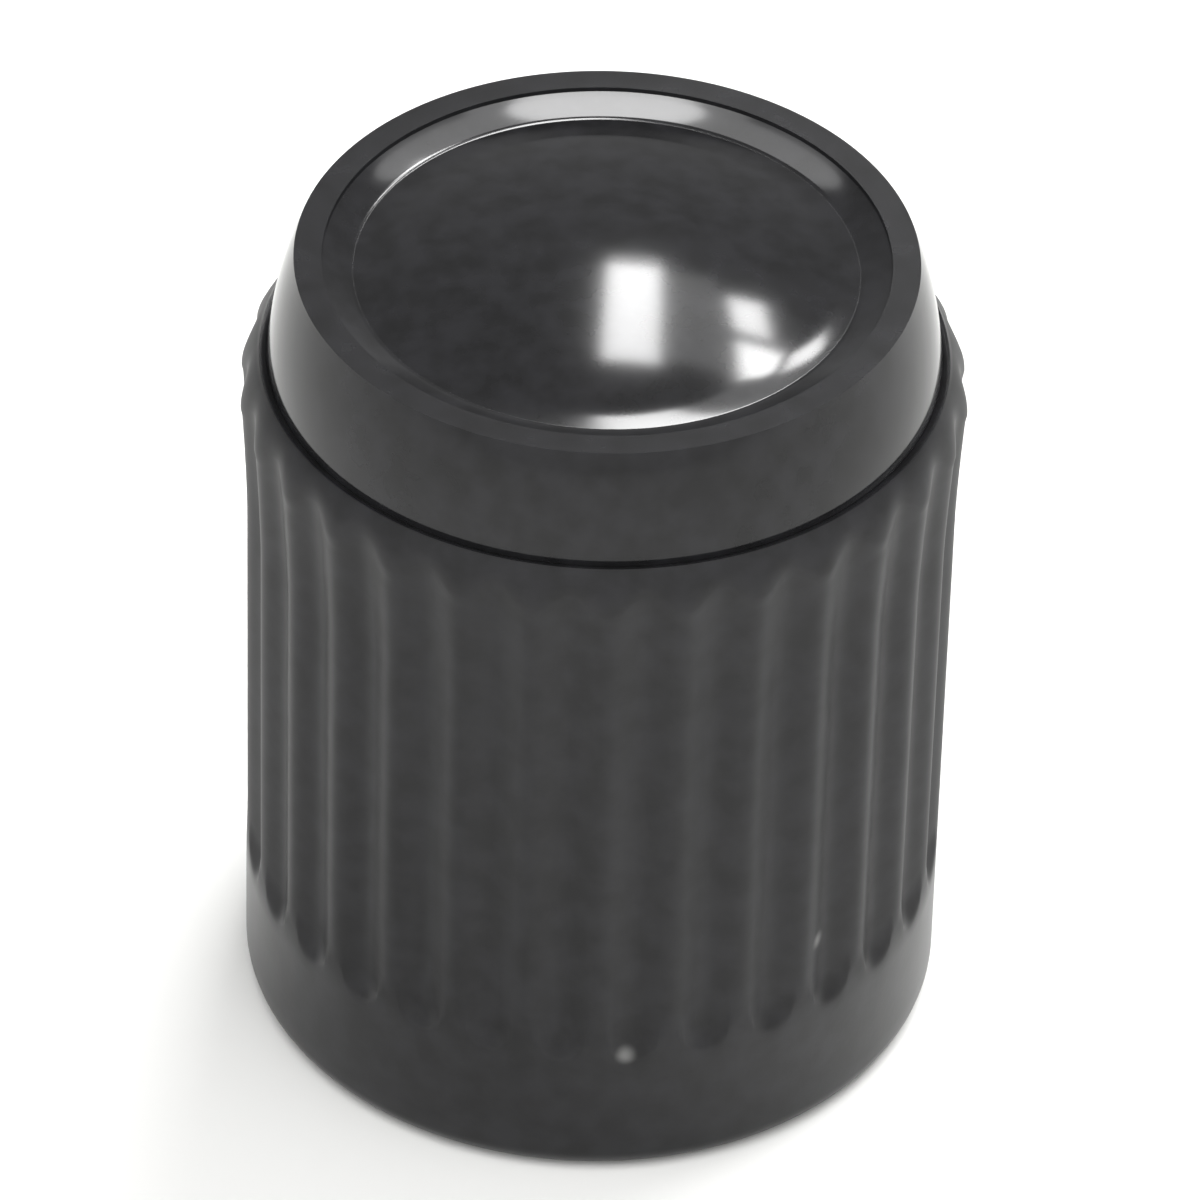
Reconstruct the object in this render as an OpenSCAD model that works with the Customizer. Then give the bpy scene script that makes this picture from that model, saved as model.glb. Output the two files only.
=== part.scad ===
// Tyre valve cap: a one-piece moulded plastic cap for an 8V1 car tyre valve.
// It has a fluted skirt on a plain foot band, a bevelled shoulder with a fine groove behind it, and a
// smooth tapered head, whose rim runs round a shallow dome. A rubber washer seals it against the end of the stem.
// The cap stands on its open mouth, centred on the Z axis, with the mouth at Z = 0.

/* [Thread bore] */
// Diameter of the bore, at the roots of its thread
bore_d = 7.84; // [7.6:0.02:7.9]
// Depth of the bore, from the mouth to the washer's groove
bore_depth = 7.2; // [5:0.1:8]
// Width of the countersink at the mouth
lead_in = 0.3; // [0.1:0.05:0.45]

/* [Foot band] */
// Thickness of the wall between the bore and the outside of the band
wall = 1.08; // [0.9:0.02:1.5]
// Height of the band, up to the ends of the flutes
band_h = 2.0; // [1:0.1:3]
// Rounding of the band's lower outer edge
foot_round = 0.35; // [0.1:0.05:0.5]

/* [Fluted skirt] */
// Number of ribs round the skirt
rib_count = 30; // [20:1:40]
// Width of a rib's crest, between two flutes
crest_w = 0.3; // [0.1:0.01:0.4]
// Depth of the flutes, just above the band
flute_depth = 0.17; // [0.1:0.01:0.3]
// Height of the skirt, up to the outer edge of the shoulder
skirt_h = 10.5; // [9:0.05:12]
// How far the skirt flares out at the shoulder
flare = 0.09; // [0:0.01:0.2]
// Height of the flared part
flare_h = 2.1; // [1:0.1:4]

/* [Shoulder and head] */
// Width of the bevel from the skirt in to the lip of the groove
shoulder_w = 0.21; // [0.15:0.01:0.3]
// Height of the bevel
shoulder_h = 0.36; // [0.1:0.01:0.5]
// Width of the groove between the bevel and the foot of the head
groove_w = 0.17; // [0.1:0.01:0.25]
// Depth of the groove below the bevel's lip
groove_depth = 0.15; // [0.05:0.01:0.2]
// Height of the head, from the groove to the rim
head_h = 1.84; // [1.4:0.02:2.6]
// Draft angle of the side of the head
head_draft = 12; // [2:0.5:15]
// Rounding of the rim's outer edge
rim_round = 0.06; // [0.03:0.01:0.15]

/* [Dome] */
// Width of the flat rim
rim_w = 0.45; // [0.2:0.01:0.6]
// Width of the sloping wall from the rim down to the channel
wall_w = 0.3; // [0.2:0.01:0.5]
// Slope of that wall
wall_slope = 19; // [10:1:30]
// Radius of the hollow that runs from the channel up into the dome
channel_round = 1.9; // [1.5:0.1:4]
// Height of the dome's crown above the rim
crown_h = 0.27; // [0.2:0.01:0.4]

/* [Washer and core recess] */
// Height of the groove that holds the washer
seat_h = 1.0; // [0.6:0.05:1.4]
// How far the groove is undercut past the bore's wall
seat_undercut = 0.18; // [0.1:0.01:0.25]
// Height that the washer leaves free in its groove
washer_play = 0.1; // [0.05:0.01:0.2]
// Width of the washer's ring
washer_w = 2.0; // [1.2:0.1:2.6]
// Width of the ledge behind the washer
ledge_w = 1.7; // [1.2:0.1:2.2]
// Depth of the recess above the washer, which clears the valve's core
recess_h = 2.6; // [1.5:0.1:3]
// Rounding where the recess meets its roof
recess_round = 0.5; // [0.2:0.05:1]

/* [Hidden] */
$fn = 96;

// Overlap that lets cutters pass through a face
past = 0.5;

bore_r = bore_d / 2;
band_r = bore_r + wall;
shoulder_r = band_r + flare;
lip_r = shoulder_r - shoulder_w;
lip_z = skirt_h + shoulder_h;
head_r = lip_r - groove_w;
head_z = lip_z - groove_depth;
rim_z = head_z + head_h;

// Centre of the rim's rounding, set so that it meets both the drafted side and the flat of the rim
rim_round_z = rim_z - rim_round;
rim_round_r = head_r - (rim_round_z - head_z) * tan(head_draft) - rim_round / cos(head_draft);

// The channel's lowest line, and the dome's sphere, which runs into the hollow without an edge
rim_inner_r = rim_round_r + rim_round - rim_w;
channel_r = rim_inner_r - wall_w;
channel_z = rim_z - wall_w * tan(wall_slope);
crown_z = rim_z + crown_h;
crown_gap = channel_z + channel_round - crown_z;
dome_round = (channel_r ^ 2 + crown_gap ^ 2 - channel_round ^ 2) / (2 * (channel_round - crown_gap));
dome_edge_r = channel_r * dome_round / (dome_round + channel_round);

// A flute is a round cut. Its radius follows from its width and depth at the surface of the band
rib_pitch = 360 / rib_count;
flute_w = 2 * PI * band_r / rib_count - crest_w;
flute_r = (flute_w ^ 2 / 4 + flute_depth ^ 2) / (2 * flute_depth);
flute_axis_r = band_r - flute_depth + flute_r;

seat_r = bore_r + seat_undercut;
seat_top = bore_depth + seat_h;
washer_h = seat_h - washer_play;
recess_r = seat_r - ledge_w;
recess_top = seat_top + recess_h;

// Half section of the foot band and the skirt, before the flutes are cut
module skirt_section() {
    translate([band_r - foot_round, foot_round])
        circle(r = foot_round);
    polygon([
        [0, 0],
        [band_r - foot_round, 0],
        [band_r, foot_round],
        [band_r, skirt_h - flare_h],
        [shoulder_r, skirt_h],
        [lip_r, lip_z],
        [head_r, head_z],
        [0, head_z]
    ]);
}

// Half section of the head up to its rim, with the wall that slopes down to the channel
module head_section() {
    translate([rim_round_r, rim_round_z])
        circle(r = rim_round);
    polygon([
        [0, skirt_h],
        [head_r, skirt_h],
        [head_r, head_z],
        [rim_round_r + rim_round * cos(head_draft), rim_round_z + rim_round * sin(head_draft)],
        [rim_round_r, rim_z],
        [rim_inner_r, rim_z],
        [channel_r, channel_z],
        [0, channel_z]
    ]);
}

// Half section of the hollow between the channel's lowest line and the dome
module hollow_ring_section() {
    difference() {
        translate([dome_edge_r, head_z + head_h / 2])
            square([channel_r - dome_edge_r, head_h / 2 + crown_h]);
        translate([channel_r, channel_z + channel_round])
            circle(r = channel_round);
    }
}

// Half section of the dome
module dome_section() {
    intersection() {
        translate([0, crown_z - dome_round])
            circle(r = dome_round);
        translate([0, head_z + head_h / 2])
            square([dome_edge_r, head_h]);
    }
}

// One round flute, open at the shoulder and with a ball end just above the band
module flute() {
    translate([flute_axis_r, 0, band_h + flute_r]) {
        cylinder(r = flute_r, h = skirt_h);
        sphere(r = flute_r);
    }
}

// Half section of the space inside: countersink, bore, washer groove and core recess
module hollow_section() {
    polygon([
        [0, -past],
        [bore_r + lead_in + past, -past],
        [bore_r, lead_in],
        [bore_r, bore_depth],
        [seat_r, bore_depth],
        [seat_r, seat_top],
        [recess_r, seat_top],
        [recess_r, recess_top - recess_round],
        [recess_r - recess_round, recess_top],
        [0, recess_top]
    ]);
    translate([recess_r - recess_round, recess_top - recess_round])
        circle(r = recess_round);
}

// The cap, moulded in one piece
module cap() {
    color("#1c1c1d")
        difference() {
            rotate_extrude() {
                skirt_section();
                head_section();
                hollow_ring_section();
                dome_section();
            }
            for (i = [0 : rib_count - 1])
                rotate([0, 0, i * rib_pitch])
                    flute();
            rotate_extrude()
                hollow_section();
        }
}

// Rubber washer, snapped into the groove at the inner end of the bore
module sealing_washer() {
    color("#2b2a28")
        translate([0, 0, seat_top - washer_h])
            difference() {
                cylinder(r = seat_r, h = washer_h);
                translate([0, 0, -past])
                    cylinder(r = seat_r - washer_w, h = washer_h + 2 * past);
            }
}

cap();
sealing_washer();
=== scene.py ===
import bpy
import bmesh
from math import asin, atan2, cos, degrees, hypot, pi, radians, sin, sqrt, tan
from mathutils import Matrix, Vector


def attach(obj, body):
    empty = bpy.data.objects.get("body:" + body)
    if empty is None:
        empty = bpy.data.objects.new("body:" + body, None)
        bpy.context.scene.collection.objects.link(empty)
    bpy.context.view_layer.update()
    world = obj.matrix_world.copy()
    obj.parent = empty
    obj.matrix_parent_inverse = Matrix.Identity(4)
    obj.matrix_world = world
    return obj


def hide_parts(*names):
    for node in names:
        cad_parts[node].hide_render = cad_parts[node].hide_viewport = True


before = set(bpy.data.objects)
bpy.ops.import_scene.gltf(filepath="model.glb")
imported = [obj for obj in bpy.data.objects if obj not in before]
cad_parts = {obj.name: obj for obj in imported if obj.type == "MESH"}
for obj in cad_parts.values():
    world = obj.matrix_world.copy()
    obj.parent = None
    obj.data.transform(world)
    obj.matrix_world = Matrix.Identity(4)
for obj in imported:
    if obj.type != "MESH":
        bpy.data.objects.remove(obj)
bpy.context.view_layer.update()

mm = 0.001
mergeGap = 0.0005 * mm
sharpAngle = radians(35)


def letGo():
    if bpy.context.object and bpy.context.object.mode != "OBJECT":
        bpy.ops.object.mode_set(mode="OBJECT")
    bpy.ops.object.select_all(action="DESELECT")


def pick(piece, test):
    # selects the vertices of the piece in edit mode whose place passes the test
    bpy.ops.mesh.select_all(action="DESELECT")
    bpy.ops.mesh.select_mode(type="VERT")
    mesh = bmesh.from_edit_mesh(piece.data)
    for vertex in mesh.verts:
        if test(vertex.co):
            vertex.select_set(True)
    mesh.select_flush_mode()
    bmesh.update_edit_mesh(piece.data)


def drawLine(name, points):
    # one vertex, extruded through the points (radius and height in mm) of a half section
    letGo()
    bpy.ops.mesh.primitive_plane_add(size=mm, location=(0, 0, 0))
    piece = bpy.context.object
    piece.name = name
    bpy.ops.object.mode_set(mode="EDIT")
    bpy.ops.mesh.merge(type="CENTER")
    bpy.ops.transform.translate(value=(points[0][0] * mm, 0, points[0][1] * mm))
    for here, there in zip(points, points[1:]):
        step = ((there[0] - here[0]) * mm, 0, (there[1] - here[1]) * mm)
        bpy.ops.mesh.extrude_vertices_move(TRANSFORM_OT_translate={"value": step})
    return piece


def closeUp():
    # seams and poles are merged, then the faces are turned outwards
    bpy.ops.mesh.select_mode(type="VERT")
    bpy.ops.mesh.select_all(action="SELECT")
    bpy.ops.mesh.remove_doubles(threshold=mergeGap)
    bpy.ops.mesh.normals_make_consistent(inside=False)
    bpy.ops.object.mode_set(mode="OBJECT")


def roundPoints(centre, radius, start, end, count):
    # points of a rounding in a half section, angles in degrees from the outward direction
    points = []
    for i in range(count + 1):
        angle = radians(start + (end - start) * i / count)
        points.append((centre[0] + radius * cos(angle), centre[1] + radius * sin(angle)))
    return points


# the cap: one moulding, with the flutes worked into half a rib and copied round
print("cap")
capShape = {
    # sizes in mm, slopes in degrees
    "boreRadius": 3.92, "boreDepth": 7.2, "leadIn": 0.3,
    "wall": 1.08, "bandHeight": 2.0, "footRound": 0.35,
    "ribCount": 30, "crestWidth": 0.3, "fluteDepth": 0.17,
    "shoulderDeeper": -0.3,     # how much deeper the flutes are at the shoulder, as a share
    "endLength": 0.38, "endSoftness": 0.06,     # length and softness of the flutes' rounded lower ends
    "skirtHeight": 10.5, "flare": 0.09, "flareHeight": 2.1, "flareCurve": 1.5,
    "shoulderWidth": 0.28, "shoulderHeight": 0.42,
    "shoulderRound": 0.8, "roundShare": 3,      # the rounding is at most this many times the bevel's width
    "leastBevel": 0.02,
    "grooveWidth": 0.1, "grooveDepth": 0.045, "lipRound": 0.05, "grooveFloor": (0.012, 0.01),
    "headHeight": 1.675, "headDraft": 12.5, "headBulge": 9,
    "rimWidth": 0.4, "rimFall": 0.005, "stepHeight": 0.065, "stepRun": 0.012,
    "wallWidth": 0.41, "wallSlope": 24, "wallBulge": 3,
    "channelRound": 3.6, "channelSlope": 6.5, "crownHeight": 0.289, "poleAngle": 0.0004,
    "seatHeight": 1.0, "seatUndercut": 0.18, "ledgeWidth": 1.7, "ledgeEdge": 0.05,
    "recessHeight": 2.6, "recessRound": 0.5, "insideEdge": 0.03, "leadInEdge": 0.02,
    # where a column has its points: up the band, from a flute's end up, up the skirt, from the flare up
    # and below the shoulder's edge
    "bandRings": [0.6, 1.2, 1.6],
    "endRings": [-0.25, -0.12, -0.06, -0.03, 0, 0.03, 0.06, 0.1, 0.16, 0.24, 0.34, 0.46, 0.6],
    "skirtRings": [4.5, 6.5], "flareRings": [-0.2, 0.1, 0.4, 0.8, 1.2, 1.6], "edgeRing": 0.12,
    "columns": [0, 0.6, 1.2, 1.8, 2.4, 3.0, 3.6, 4.2, 4.8, 5.4, 6.0],   # degrees from a crest's centre line
}
c = capShape
bandRadius = c["boreRadius"] + c["wall"]
shoulderRadius = bandRadius + c["flare"]
lipRadius = shoulderRadius - c["shoulderWidth"]
lipHeight = c["skirtHeight"] + c["shoulderHeight"]
headRadius = lipRadius - c["grooveWidth"]
headStart = lipHeight - c["grooveDepth"]
rimTop = headStart + c["headHeight"]
draft = radians(c["headDraft"])
rimOuter = headRadius - c["headHeight"] * tan(draft)
rimInner = rimOuter - c["rimWidth"]
channelRadius = rimInner - c["wallWidth"]
wallTop = rimTop - c["stepHeight"]
channelHeight = wallTop - c["wallWidth"] * tan(radians(c["wallSlope"]))
crownTop = wallTop + c["crownHeight"]
hollowCentre = (channelRadius + c["channelRound"] * sin(radians(c["channelSlope"])),
                channelHeight + c["channelRound"] * cos(radians(c["channelSlope"])))
crownGap = hollowCentre[1] - crownTop
domeRadius = hollowCentre[0] ** 2 + crownGap ** 2 - c["channelRound"] ** 2     # the dome touches the hollow's circle
domeRadius /= 2 * (c["channelRound"] - crownGap)
domeSlope = degrees(asin(hollowCentre[0] / (domeRadius + c["channelRound"])))
fluteWidth = 2 * pi * bandRadius / c["ribCount"] - c["crestWidth"]
fluteRadius = (fluteWidth ** 2 / 4 + c["fluteDepth"] ** 2) / (2 * c["fluteDepth"])
fluteCentre = bandRadius - c["fluteDepth"] + fluteRadius
ballHeight = c["bandHeight"] + fluteRadius
halfPitch = 180 / c["ribCount"]
bevelAngle = atan2(c["shoulderHeight"], c["shoulderWidth"])
grooveAngle = atan2(c["grooveDepth"], c["grooveWidth"])


def fluteEnd(angle):
    # height where a flute's rounded end begins, at an angle from a crest's centre line
    turn = radians(halfPitch - angle)
    reach = fluteRadius ** 2 - (fluteCentre * sin(turn)) ** 2 - (fluteCentre * cos(turn) - bandRadius) ** 2
    return ballHeight - sqrt(max(0, reach))


def skirtSurface(angle, height):
    # the flared skirt, less a flute whose sides swing smoothly from crest to crest
    t = min(1, max(0, (height - (c["skirtHeight"] - c["flareHeight"])) / c["flareHeight"]))
    above = height - fluteEnd(angle)
    rise = min(1, (above + sqrt(above ** 2 + c["endSoftness"] ** 2)) / 2 / c["endLength"])
    depth = c["fluteDepth"] * (1 + c["shoulderDeeper"] * t) * (1 - (1 - rise) ** 2)
    return bandRadius + c["flare"] * t ** c["flareCurve"] - depth * (1 - cos(pi * angle / halfPitch)) / 2


def skirtColumn(angle):
    # radius and height of each point up one column of the skirt, from just under the flutes to the head
    endHeight = fluteEnd(angle)
    points = []
    for step in c["endRings"]:
        height = endHeight + step
        points.append((skirtSurface(angle, height), height))
    top = c["skirtHeight"] - c["flareHeight"]
    for height in c["skirtRings"] + [top + step for step in c["flareRings"]]:
        points.append((skirtSurface(angle, height), height))
    # the shoulder's rounding starts from the column's wall, so it follows the flutes in scallops
    edgeRadius = skirtSurface(angle, c["skirtHeight"])
    ridgeRadius = min(lipRadius, edgeRadius - c["leastBevel"])
    ridgeHeight = c["skirtHeight"] + (shoulderRadius - max(ridgeRadius, lipRadius)) * tan(bevelAngle)
    ridgeHeight -= (lipRadius - min(lipRadius, ridgeRadius)) * tan(grooveAngle)
    soft = min(c["shoulderRound"], (edgeRadius - ridgeRadius) * c["roundShare"])
    edgeHeight = ridgeHeight - (edgeRadius - ridgeRadius) * tan(bevelAngle)
    back = soft * tan((pi / 2 - bevelAngle) / 2)
    height = edgeHeight - back - c["edgeRing"]
    points.append((skirtSurface(angle, height), height))
    points += roundPoints((edgeRadius - soft, edgeHeight - back), soft, 0, 90 - degrees(bevelAngle), 6)
    # the bevel's lip, as shares of its rounding along the bevel and down the groove
    for along, down in ((0.6, 0), (0.14, 0.14), (0, 0.6)):
        points.append((ridgeRadius + c["lipRound"] * (along * cos(bevelAngle) - down * cos(grooveAngle)),
                       ridgeHeight - c["lipRound"] * (along * sin(bevelAngle) + down * sin(grooveAngle))))
    return points


# the inside, from the middle of the recess's roof down to the mouth
seatTop = c["boreDepth"] + c["seatHeight"]
roof = seatTop + c["recessHeight"]
seatRadius = c["boreRadius"] + c["seatUndercut"]
recessRadius = seatRadius - c["ledgeWidth"]
edge, leadInEdge = c["insideEdge"], c["leadInEdge"]
insidePoints = [(0.0001, roof)]
insidePoints += list(reversed(roundPoints(
    (recessRadius - c["recessRound"], roof - c["recessRound"]), c["recessRound"], 0, 90, 4)))
insidePoints += [
    (recessRadius, seatTop + c["ledgeEdge"]), (recessRadius + c["ledgeEdge"], seatTop),
    (seatRadius, seatTop), (seatRadius, c["boreDepth"]),
    (c["boreRadius"] + edge, c["boreDepth"]), (c["boreRadius"], c["boreDepth"] - edge),
    (c["boreRadius"], c["leadIn"] + edge), (c["boreRadius"] + leadInEdge, c["leadIn"] - leadInEdge),
    (c["boreRadius"] + c["leadIn"] - edge, edge), (c["boreRadius"] + c["leadIn"] + edge, 0)]
footPoints = roundPoints((bandRadius - c["footRound"], c["footRound"]), c["footRound"], -90, 0, 8)
footPoints += [(bandRadius, height) for height in c["bandRings"]]
# the side of the head swells slightly between its foot and the rim
chord = hypot(headRadius - rimOuter, c["headHeight"])
sideRound = chord / 2 / sin(radians(c["headBulge"]))
low, high = c["headDraft"] - c["headBulge"], c["headDraft"] + c["headBulge"]
sideCentre = (headRadius - sideRound * cos(radians(low)), headStart - sideRound * sin(radians(low)))
headPoints = [(headRadius + c["grooveFloor"][0], headStart + c["grooveFloor"][1])]
headPoints += roundPoints(sideCentre, sideRound, low, high, 8)
# from the rim inwards: a low step, the wall that catches the light, and the hollow that runs up into the dome
steep, shallow = radians(c["wallSlope"] + c["wallBulge"]), radians(c["wallSlope"] - c["wallBulge"])
wallRound = c["wallWidth"] / (sin(steep) - sin(shallow))
wallCentre = (channelRadius - wallRound * sin(shallow), channelHeight + wallRound * cos(shallow))
headPoints += [(rimInner + c["stepRun"], rimTop - c["rimFall"]), (rimInner, wallTop)]
headPoints += list(reversed(roundPoints(wallCentre, wallRound, degrees(shallow) - 90, degrees(steep) - 90, 8)))[1:]
headPoints += list(reversed(roundPoints(
    hollowCentre, c["channelRound"], -90 - domeSlope, -90 - c["channelSlope"], 14)))[1:]
headPoints += roundPoints(
    (0, crownTop - domeRadius), domeRadius, 90 - domeSlope, 90 - c["poleAngle"], 22)[1:]


def wholeColumn(angle):
    return insidePoints + footPoints + skirtColumn(angle) + headPoints


# half a rib: the half section is turned step by step from a crest to the middle of a flute,
# and after each step the points of the new line are moved to their places
cap = drawLine("capBody", wholeColumn(0))
bpy.ops.mesh.select_all(action="SELECT")
for before, angle in zip(c["columns"], c["columns"][1:]):
    bpy.ops.mesh.spin(steps=1, angle=radians(angle - before), center=(0, 0, 0), axis=(0, 0, 1))
    mesh = bmesh.from_edit_mesh(cap.data)
    newLine = [v for v in mesh.verts if v.select]
    side = Vector((cos(radians(angle)), -sin(radians(angle)), 0))
    for here, there in zip(skirtColumn(before), skirtColumn(angle)):
        spot = side * here[0] * mm + Vector((0, 0, here[1] * mm))
        bpy.ops.mesh.select_all(action="DESELECT")
        min(newLine, key=lambda v: (v.co - spot).length).select_set(True)
        mesh.select_flush_mode()
        step = side * (there[0] - here[0]) * mm + Vector((0, 0, (there[1] - here[1]) * mm))
        bpy.ops.transform.translate(value=step)
        mesh = bmesh.from_edit_mesh(cap.data)
    bpy.ops.mesh.select_all(action="DESELECT")
    for v in newLine:
        v.select_set(True)
    mesh.select_flush_mode()
    bmesh.update_edit_mesh(cap.data)

# the other half of the rib is its mirror image, and the rib is copied round the axis
bpy.ops.mesh.select_all(action="SELECT")
bpy.ops.mesh.duplicate()
bpy.ops.transform.resize(value=(1, -1, 1), center_override=(0, 0, 0))
bpy.ops.mesh.flip_normals()
bpy.ops.mesh.select_all(action="SELECT")
bpy.ops.mesh.remove_doubles(threshold=mergeGap)
bpy.ops.mesh.select_all(action="SELECT")
around = radians(360 - 360 / c["ribCount"])
bpy.ops.mesh.spin(steps=c["ribCount"] - 1, dupli=True, angle=around, center=(0, 0, 0), axis=(0, 0, 1))
closeUp()
bpy.ops.object.mode_set(mode="EDIT")
bpy.ops.mesh.select_all(action="SELECT")
# a crest faces the front
bpy.ops.transform.rotate(value=radians(halfPitch), orient_axis="Z", center_override=(0, 0, 0))
bpy.ops.object.mode_set(mode="OBJECT")
bpy.ops.object.shade_smooth_by_angle(angle=sharpAngle)
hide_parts("cap")
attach(cap, "root")


# the inside thread: one ridge wound up the bore
print("thread")
threadShape = {
    "pitch": 0.794,              # 32 turns to the inch
    "start": 0.75, "turns": 7.4,        # height of the first turn's middle, mm
    "crestRadius": 3.53, "crestWidth": 0.1, "rootWidth": 0.56, "crestEdge": (0.02, 0.01),
    "rootDepth": 0.03,           # how far the ridge reaches into the bore's wall
    "stepsPerTurn": 60, "runOut": 0.2, "thinEnd": 0.3,      # each end fades into the wall over a part of a turn
    "crestReach": 0.12,          # the crest's points lie within this distance of its middle
}
t = threadShape
rootRadius = c["boreRadius"] + t["rootDepth"]
foot, crest, start = t["rootWidth"] / 2, t["crestWidth"] / 2, t["start"]
slant, chamfer = t["crestEdge"]
letGo()
thread = drawLine("boreThread", [
    (rootRadius, start - foot), (t["crestRadius"] + slant, start - crest - slant),
    (t["crestRadius"], start - crest + chamfer), (t["crestRadius"], start + crest - chamfer),
    (t["crestRadius"] + slant, start + crest + slant), (rootRadius, start + foot)])
bpy.ops.object.mode_set(mode="OBJECT")
winding = thread.modifiers.new("winding", "SCREW")
winding.axis = "Z"
winding.angle = 2 * pi * t["turns"]
winding.screw_offset = t["pitch"] * t["turns"] * mm
winding.steps = winding.render_steps = int(t["stepsPerTurn"] * t["turns"])
bpy.ops.object.modifier_apply(modifier="winding")
bpy.ops.object.mode_set(mode="EDIT")
fadeSteps = int(t["stepsPerTurn"] * t["runOut"])
for i in range(fadeSteps):
    keep = (i + t["thinEnd"]) / fadeSteps
    for turned in (i / t["stepsPerTurn"], t["turns"] - i / t["stepsPerTurn"]):
        direction = Vector((cos(2 * pi * turned), sin(2 * pi * turned), 0))
        middle = direction * t["crestRadius"] * mm + Vector((0, 0, (t["start"] + t["pitch"] * turned) * mm))
        pick(thread, lambda place: (place - middle).length < t["crestReach"] * mm)
        bpy.ops.transform.translate(value=direction * (rootRadius - t["crestRadius"]) * (1 - keep) * mm)
closeUp()
bpy.ops.object.shade_smooth_by_angle(angle=sharpAngle)
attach(thread, "root")


# the rubber washer at the inner end of the bore
print("washer")
washerShape = {"outerRadius": 4.1, "width": 2.0, "height": 0.9, "top": 8.2, "edgeRound": 0.08}
w = washerShape
inner, outer = w["outerRadius"] - w["width"], w["outerRadius"]
low, high, soft = w["top"] - w["height"], w["top"], w["edgeRound"]
washerPoints = roundPoints((outer - soft, high - soft), soft, 0, 90, 3)
washerPoints += roundPoints((inner + soft, high - soft), soft, 90, 180, 3)
washerPoints += roundPoints((inner + soft, low + soft), soft, 180, 270, 3)
washerPoints += roundPoints((outer - soft, low + soft), soft, 270, 360, 3)
washer = drawLine("washerRing", washerPoints + washerPoints[:1])
bpy.ops.mesh.select_all(action="SELECT")
bpy.ops.mesh.spin(steps=96, angle=2 * pi, center=(0, 0, 0), axis=(0, 0, 1))
closeUp()
bpy.ops.object.shade_smooth_by_angle(angle=sharpAngle)
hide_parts("sealing_washer")
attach(washer, "root")


# materials
print("materials")


def linear(hexColour):
    # an sRGB hex colour as linear values
    values = [int(hexColour[i:i + 2], 16) / 255 for i in (1, 3, 5)]
    return tuple(v / 12.92 if v <= 0.04045 else ((v + 0.055) / 1.055) ** 2.4 for v in values) + (1,)


def addNode(material, kind, settings=None, links=None):
    # settings go to sockets where the node has one of that name or number, else to the node itself
    node = material.node_tree.nodes.new(kind)
    for key, value in (settings or {}).items():
        if isinstance(key, int) or key in node.inputs:
            node.inputs[key].default_value = value
        else:
            setattr(node, key, value)
    for key, socket in (links or {}).items():
        material.node_tree.links.new(socket, node.inputs[key])
    return node


def newMaterial(name):
    material = bpy.data.materials.new(name)
    material.use_nodes = True
    return material, material.node_tree.nodes["Principled BSDF"]


def perMm(size):
    # noise scale for features of a size in mm, on coordinates in metres
    return 1 / (size * mm)


# Moulded polypropylene, black right through: glossy where the mould was polished for the head, a satin sheen
# on the skirt, and a faint unevenness as of cooled plastic, which makes its reflections waver
plasticLook = {
    "colour": "#171718", "paleColour": "#202022", "ior": 1.49, "sheen": 0.3,
    "headGloss": 0.11, "skirtGloss": 0.48, "bandGloss": 0.3,
    "bandTop": (1.9, 2.4), "headFoot": (10.85, 10.95), "grainTop": (10.5, 10.9),    # heights of the changes, mm
    "waveSize": 1.6, "waveHeight": 0.002, "grainSize": 0.09, "headGrain": 0.00003, "skirtGrain": 0.0006,
    "mottleSize": 0.45, "mottleRange": (0.35, 0.65),
    # azimuth from the front, height and distance from the axis of two pale spots, and their radius in mm: the first
    # is a painted highlight, a lamp's glint at a flute's lower end, the second a pale speck on a rib
    "paintedGlintAndSpeck": [(4.8, 2.2, 5.0, 0.2), (39.5, 3.34, 4.9, 0.19)], "glintAndSpeckColour": "#adadab", "glintAndSpeckLevel": 0.35,
}
p = plasticLook
plastic, plasticShader = newMaterial("blackPolypropylene")
plasticShader.inputs["Specular IOR Level"].default_value = p["sheen"]
plasticShader.inputs["IOR"].default_value = p["ior"]
place = addNode(plastic, "ShaderNodeTexCoord")
height = addNode(plastic, "ShaderNodeSeparateXYZ", links={0: place.outputs["Object"]})
aboveBand = addNode(
    plastic, "ShaderNodeMapRange",
    {1: p["bandTop"][0] * mm, 2: p["bandTop"][1] * mm, 3: p["bandGloss"], 4: p["skirtGloss"]},
    {0: height.outputs["Z"]})
gloss = addNode(
    plastic, "ShaderNodeMapRange", {1: p["headFoot"][0] * mm, 2: p["headFoot"][1] * mm, 4: p["headGloss"]},
    {0: height.outputs["Z"], 3: aboveBand.outputs[0]})
plastic.node_tree.links.new(gloss.outputs[0], plasticShader.inputs["Roughness"])
mottle = addNode(
    plastic, "ShaderNodeTexNoise", {"Scale": perMm(p["mottleSize"]), "Detail": 3.0},
    {"Vector": place.outputs["Object"]})
spread = addNode(
    plastic, "ShaderNodeMapRange", {1: p["mottleRange"][0], 2: p["mottleRange"][1]}, {0: mottle.outputs[0]})
shade = addNode(
    plastic, "ShaderNodeMix", {"data_type": "RGBA", 6: linear(p["colour"]), 7: linear(p["paleColour"])},
    {0: spread.outputs[0]})
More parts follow.
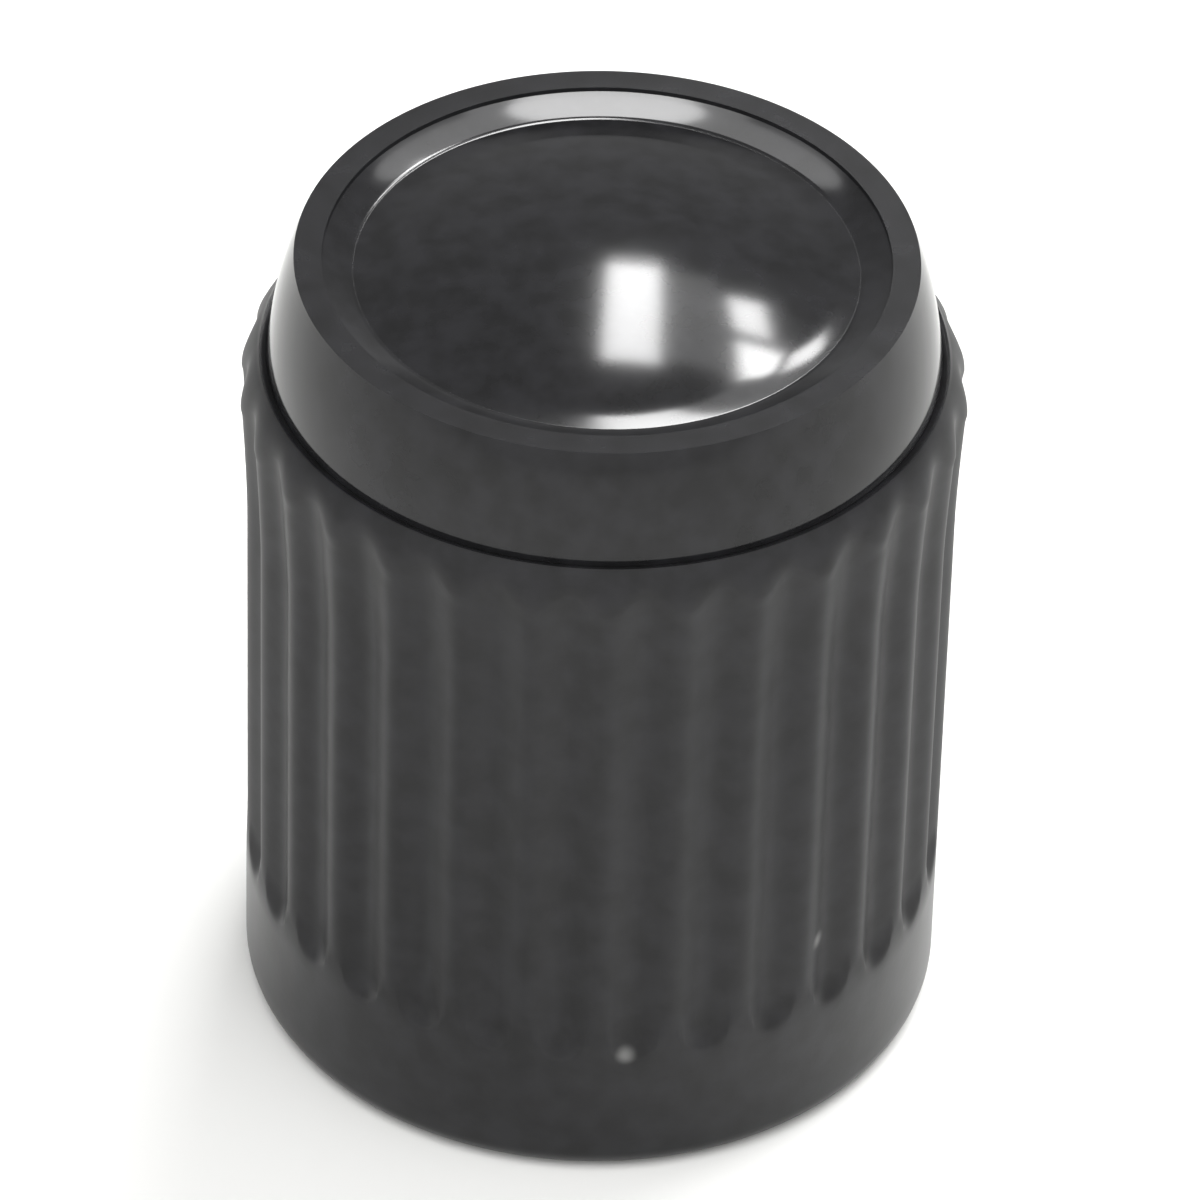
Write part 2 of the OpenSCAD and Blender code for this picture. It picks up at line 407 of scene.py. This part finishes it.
# two pale spots mixed into the colour: a painted highlight at a flute's lower end and a pale speck on a rib
for azimuth, up, out, radius in p["paintedGlintAndSpeck"]:
    spot = (out * sin(radians(azimuth)) * mm, -out * cos(radians(azimuth)) * mm, up * mm)
    away = addNode(
        plastic, "ShaderNodeVectorMath", {"operation": "DISTANCE", 1: spot}, {0: place.outputs["Object"]})
    glintAndSpeckMask = addNode(
        plastic, "ShaderNodeMapRange",
        {"interpolation_type": "SMOOTHSTEP", 1: radius * mm, 2: 0.0, 4: p["glintAndSpeckLevel"]}, {0: away.outputs["Value"]})
    shade = addNode(
        plastic, "ShaderNodeMix", {"data_type": "RGBA", 7: linear(p["glintAndSpeckColour"])},
        {0: glintAndSpeckMask.outputs[0], 6: shade.outputs[2]})
plastic.node_tree.links.new(shade.outputs[2], plasticShader.inputs["Base Color"])
waves = addNode(
    plastic, "ShaderNodeTexNoise", {"Scale": perMm(p["waveSize"]), "Detail": 1.0},
    {"Vector": place.outputs["Object"]})
grain = addNode(
    plastic, "ShaderNodeTexNoise", {"Scale": perMm(p["grainSize"]), "Detail": 2.0},
    {"Vector": place.outputs["Object"]})
waveBump = addNode(
    plastic, "ShaderNodeBump", {"Strength": 1.0, "Distance": p["waveHeight"] * mm}, {"Height": waves.outputs[0]})
grainHeight = addNode(
    plastic, "ShaderNodeMapRange",
    {1: p["grainTop"][0] * mm, 2: p["grainTop"][1] * mm, 3: p["skirtGrain"] * mm, 4: p["headGrain"] * mm},
    {0: height.outputs["Z"]})
grainBump = addNode(
    plastic, "ShaderNodeBump", {"Strength": 1.0},
    {"Height": grain.outputs[0], "Distance": grainHeight.outputs[0], "Normal": waveBump.outputs[0]})
plastic.node_tree.links.new(grainBump.outputs[0], plasticShader.inputs["Normal"])

# Nitrile rubber, die-cut from sheet: dull dark grey with a fine powdery grain
rubberLook = {
    "colour": "#2b2a29", "paleColour": "#393735", "roughness": 0.75,
    "grainSize": 0.06, "grainHeight": 0.004,
}
r = rubberLook
nitrile, nitrileShader = newMaterial("nitrileRubber")
nitrileShader.inputs["Roughness"].default_value = r["roughness"]
place = addNode(nitrile, "ShaderNodeTexCoord")
specks = addNode(
    nitrile, "ShaderNodeTexNoise", {"Scale": perMm(r["grainSize"]), "Detail": 3.0},
    {"Vector": place.outputs["Object"]})
tint = addNode(
    nitrile, "ShaderNodeMix", {"data_type": "RGBA", 6: linear(r["colour"]), 7: linear(r["paleColour"])},
    {0: specks.outputs[0]})
nitrile.node_tree.links.new(tint.outputs[2], nitrileShader.inputs["Base Color"])
powder = addNode(nitrile, "ShaderNodeBump", {"Distance": r["grainHeight"] * mm}, {"Height": specks.outputs[0]})
nitrile.node_tree.links.new(powder.outputs[0], nitrileShader.inputs["Normal"])

for piece, material in ((cap, plastic), (thread, plastic), (washer, nitrile)):
    piece.data.materials.clear()
    piece.data.materials.append(material)


# floor, lamps and camera
print("studio")
studio = {
    "floorSize": 2.4, "floorColour": "#f3f3f1", "floorRoughness": 0.9, "floorSheen": 0.2,
    "frontLevel": 1.19, "rearLevel": 0.45, "levelRange": (-0.5, 0.3),   # the world's light, front and rear
    "lampHeight": 0.5,
    # middle (x, y behind) and size (x, y) of each ceiling lamp, as shares of the lamp height,
    # its radiance, outline and turn in degrees
    "lamps": {
        "stripLeft": ((0.083, 0.83), (0.12, 0.54), 31, "RECTANGLE", 3),
        "stripLeftEnd": ((0.098, 1.14), (0.12, 0.08), 7.5, "RECTANGLE", 3),
        "stripRightFar": ((0.345, 0.87), (0.09, 0.2), 31, "RECTANGLE", 0),
        "stripRightNear": ((0.4, 0.61), (0.2, 0.22), 41, "RECTANGLE", 0),
        "between": ((0.21, 0.82), (0.14, 0.5), 2.5, "RECTANGLE", 0),
        "topBar": ((0.02, 0.12), (0.52, 0.26), 24, "ELLIPSE", 0),
        "topGlow": ((0.02, 0.14), (0.8, 0.3), 5, "ELLIPSE", 0),
        "armLeft": ((-0.4, 0.38), (0.75, 0.24), 5, "ELLIPSE", 49),
        "armRight": ((0.45, 0.38), (0.75, 0.24), 5, "ELLIPSE", -49),
        "floorLight": ((0, -0.25), (1.0, 0.9), 2.1, "RECTANGLE", 0),
        "rearLight": ((0.7, 0.8), (1.2, 0.6), 13, "RECTANGLE", 0),
    },
    # these two light the paper and the sides and aren't mirrored, the others are seen only as highlights
    "paperLamps": ("floorLight", "rearLight"),
}
letGo()
bpy.ops.mesh.primitive_plane_add(size=studio["floorSize"], location=(0, 0, 0))
floor = bpy.context.object
floor.name = "studioPaper"
paper, paperShader = newMaterial("studioPaper")   # matt white paper, which keeps the shadow
paperShader.inputs["Base Color"].default_value = linear(studio["floorColour"])
paperShader.inputs["Roughness"].default_value = studio["floorRoughness"]
paperShader.inputs["Specular IOR Level"].default_value = studio["floorSheen"]
floor.data.materials.append(paper)

world = bpy.data.worlds.new("softStudio")
world.use_nodes = True
bpy.context.scene.world = world
softLight = world.node_tree.nodes["Background"]
softLight.inputs["Color"].default_value = (1, 1, 1, 1)
direction = addNode(world, "ShaderNodeTexCoord")
aside = addNode(world, "ShaderNodeSeparateXYZ", links={0: direction.outputs["Generated"]})
level = addNode(
    world, "ShaderNodeMapRange",
    {1: studio["levelRange"][0], 2: studio["levelRange"][1], 3: studio["frontLevel"], 4: studio["rearLevel"]},
    {0: aside.outputs["Y"]})
world.node_tree.links.new(level.outputs[0], softLight.inputs["Strength"])

for name, (middle, size, radiance, outline, turned) in studio["lamps"].items():
    letGo()
    high = studio["lampHeight"]
    bpy.ops.object.light_add(type="AREA", location=(middle[0] * high, middle[1] * high, high))
    lamp = bpy.context.object
    lamp.name = name
    lamp.rotation_euler.z = radians(-turned)
    lamp.data.shape = outline
    lamp.data.size, lamp.data.size_y = size[0] * high, size[1] * high
    face = lamp.data.size * lamp.data.size_y * (pi / 4 if outline == "ELLIPSE" else 1)
    lamp.data.energy = radiance * pi * face
    lamp.visible_diffuse = name in studio["paperLamps"]
    lamp.visible_glossy = not lamp.visible_diffuse

view = {
    "elevation": 41.4, "turn": -1.8, "distance": 0.145, "roll": 1.6,
    "aim": (0.03, 3.28, 3.72),      # mm
    "lens": 297.3, "sensor": 36, "clipStart": 0.01,
}
elevation = radians(view["elevation"])
swing = Matrix.Rotation(radians(view["turn"]), 3, "Z")
spot = swing @ Vector((0, -cos(elevation), sin(elevation))) * view["distance"]
aim = swing @ Vector(view["aim"]) * mm
letGo()
bpy.ops.object.camera_add(location=spot)
camera = bpy.context.object
camera.name = "photoCamera"
camera.data.sensor_width = view["sensor"]
camera.data.lens = view["lens"]
camera.data.clip_start = view["clipStart"]
rolled = Matrix.Rotation(radians(view["roll"]), 3, "Z").to_quaternion()
camera.rotation_euler = ((aim - spot).to_track_quat("-Z", "Y") @ rolled).to_euler()
bpy.context.scene.camera = camera
bpy.context.scene.view_settings.view_transform = "Standard"
